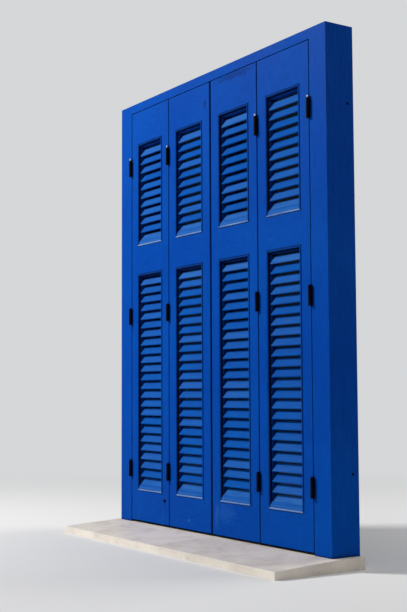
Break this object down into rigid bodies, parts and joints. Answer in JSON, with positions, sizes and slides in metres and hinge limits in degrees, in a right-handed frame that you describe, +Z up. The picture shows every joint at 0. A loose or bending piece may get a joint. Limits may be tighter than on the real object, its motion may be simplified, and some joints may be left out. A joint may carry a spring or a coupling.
{
  "type": "window with shutters",
  "caption": "Timber window with folding louvred shutters on a stone sill, and glazed casements that open inwards behind them.",
  "frame": {"origin": "on the underside of the stone sill, below the middle of the leaves' front plane", "axes": "+Z up, +X to the right seen from outside, -Y outside and +Y the room"},
  "size_m": [1.356, 0.396, 1.698],
  "materials": {
    "paint": "satin gloss oil paint, strong blue",
    "slats": "satin gloss oil paint, strong blue, chalky with wear",
    "marble": "honed pale marble",
    "hinge_iron": "dark painted iron",
    "glass": "smooth float glass, tinted dark",
    "brass": "worn brass"
  },
  "bodies": {
    "outer_frame": {"stone_sill": "marble", "frame_left_jamb": "paint", "frame_right_jamb": "paint", "frame_head": "paint", "frame_bottom_rail": "paint", "left_jamb_hinge_pins": "hinge_iron", "right_jamb_hinge_pins": "hinge_iron", "left_casement_hinge_pins": "hinge_iron", "right_casement_hinge_pins": "hinge_iron", "cremone_keeps": "brass"},
    "shutter_1": {"shutter_1_outer_stile": "paint", "shutter_1_inner_stile": "paint", "shutter_1_top_rail": "paint", "shutter_1_middle_rail": "paint", "shutter_1_bottom_rail": "paint", "shutter_1_slats": "slats", "left_jamb_hinge_flaps": "hinge_iron", "left_fold_hinge_pins": "hinge_iron"},
    "shutter_2": {"shutter_2_outer_stile": "paint", "shutter_2_inner_stile": "paint", "shutter_2_top_rail": "paint", "shutter_2_middle_rail": "paint", "shutter_2_bottom_rail": "paint", "shutter_2_slats": "slats", "left_fold_hinge_flaps": "hinge_iron"},
    "shutter_3": {"shutter_3_outer_stile": "paint", "shutter_3_inner_stile": "paint", "shutter_3_top_rail": "paint", "shutter_3_middle_rail": "paint", "shutter_3_bottom_rail": "paint", "shutter_3_slats": "slats", "right_fold_hinge_flaps": "hinge_iron"},
    "shutter_4": {"shutter_4_outer_stile": "paint", "shutter_4_inner_stile": "paint", "shutter_4_top_rail": "paint", "shutter_4_middle_rail": "paint", "shutter_4_bottom_rail": "paint", "shutter_4_slats": "slats", "right_jamb_hinge_flaps": "hinge_iron", "right_fold_hinge_pins": "hinge_iron"},
    "drop_bolt": {"shutter_drop_bolt": "hinge_iron"},
    "left_casement": {"left_casement_hinge_stile": "paint", "left_casement_meeting_stile": "paint", "left_casement_top_rail": "paint", "left_casement_bottom_rail": "paint", "left_casement_glass": "glass", "left_casement_glazing_beads": "paint", "left_casement_hinge_flaps": "hinge_iron"},
    "right_casement": {"right_casement_hinge_stile": "paint", "right_casement_meeting_stile": "paint", "right_casement_top_rail": "paint", "right_casement_bottom_rail": "paint", "right_casement_glass": "glass", "right_casement_glazing_beads": "paint", "right_casement_hinge_flaps": "hinge_iron", "cremone_case": "brass"},
    "cremone_handle": {"cremone_handle": "brass"},
    "cremone_upper_rod": {"cremone_upper_rod": "brass"},
    "cremone_lower_rod": {"cremone_lower_rod": "brass"}
  },
  "joints": [
    {"name": "shutter_1_swing", "type": "hinge", "parent": "outer_frame", "child": "shutter_1", "pos_m": [-0.5695, -0.0065, 0.047], "axis": [0, 0, -1], "range_deg": [0, 90]},
    {"name": "shutter_2_fold", "type": "hinge", "parent": "shutter_1", "child": "shutter_2", "pos_m": [-0.28625, -0.0065, 0.047], "axis": [0, 0, -1], "range_deg": [0, 180]},
    {"name": "shutter_4_swing", "type": "hinge", "parent": "outer_frame", "child": "shutter_4", "pos_m": [0.5695, -0.0065, 0.047], "axis": [0, 0, 1], "range_deg": [0, 90]},
    {"name": "shutter_3_fold", "type": "hinge", "parent": "shutter_4", "child": "shutter_3", "pos_m": [0.28625, -0.0065, 0.047], "axis": [0, 0, 1], "range_deg": [0, 180]},
    {"name": "drop_bolt_slide", "type": "slide", "parent": "shutter_3", "child": "drop_bolt", "axis": [0, 0, 1], "range_m": [-0.02, 0]},
    {"name": "left_casement_swing", "type": "hinge", "parent": "outer_frame", "child": "left_casement", "pos_m": [-0.5695, 0.1175, 0.047], "axis": [0, 0, 1], "range_deg": [0, 100]},
    {"name": "right_casement_swing", "type": "hinge", "parent": "outer_frame", "child": "right_casement", "pos_m": [0.5695, 0.1175, 0.047], "axis": [0, 0, -1], "range_deg": [0, 100]},
    {"name": "cremone_handle_turn", "type": "hinge", "parent": "right_casement", "child": "cremone_handle", "pos_m": [0.03, 0.119, 0.81], "axis": [0, 1, 0], "range_deg": [0, 90]},
    {"name": "cremone_upper_rod_slide", "type": "slide", "parent": "right_casement", "child": "cremone_upper_rod", "axis": [0, 0, 1], "range_m": [0, 0.014]},
    {"name": "cremone_lower_rod_slide", "type": "slide", "parent": "right_casement", "child": "cremone_lower_rod", "axis": [0, 0, -1], "range_m": [0, 0.014]}
  ],
  "couplings": [
    {"joint": "cremone_upper_rod_slide", "follows": "cremone_handle_turn", "m_per_rad": 0.0089},
    {"joint": "cremone_lower_rod_slide", "follows": "cremone_handle_turn", "m_per_rad": 0.0089}
  ]
}
